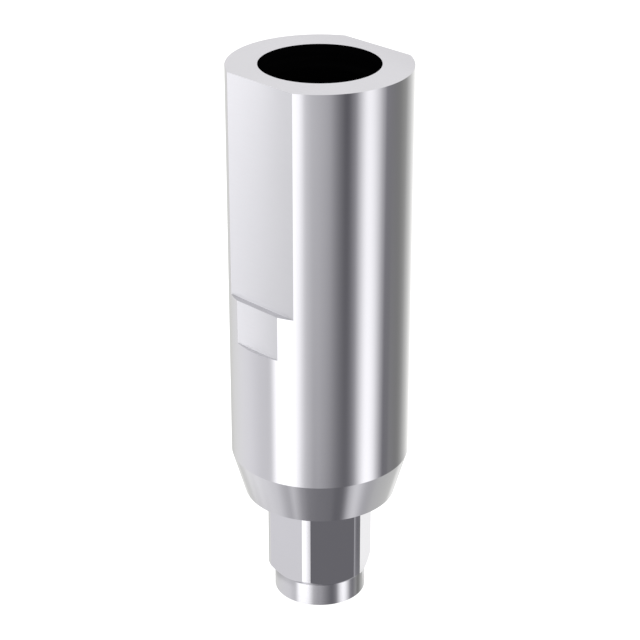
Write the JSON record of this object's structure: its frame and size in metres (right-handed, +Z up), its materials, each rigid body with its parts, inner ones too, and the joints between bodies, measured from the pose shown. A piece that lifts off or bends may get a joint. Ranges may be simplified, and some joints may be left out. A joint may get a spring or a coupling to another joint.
{
  "type": "dental scan body",
  "caption": "Dental scan body: a polished metal post with opposed scan flats, a tapered shoulder, a hexagon connection and a captive fixing screw in its bore.",
  "frame": {"origin": "centre of the pilot's end face, which is also the lowest point", "axes": "+Z up along the post's axis, from the implant end to the scanned top face; -Y is the outward normal of the front scan flat, the one with the small locating flat below it; +X to the right when that flat is faced"},
  "size_m": [0.0044, 0.0044, 0.0141],
  "materials": {
    "polished_titanium": "finely turned and polished titanium alloy, bright, with a dark unlit bore",
    "screw_titanium": "turned titanium alloy, satin, with a rolled thread"
  },
  "bodies": {
    "scan_body": {"scan_body": "polished_titanium"},
    "retaining_screw": {"retaining_screw": "screw_titanium"}
  },
  "joints": [
    {"name": "screw_slide", "type": "slide", "parent": "scan_body", "child": "retaining_screw", "axis": [0, 0, -1], "range_m": [0, 0.0024]}
  ]
}
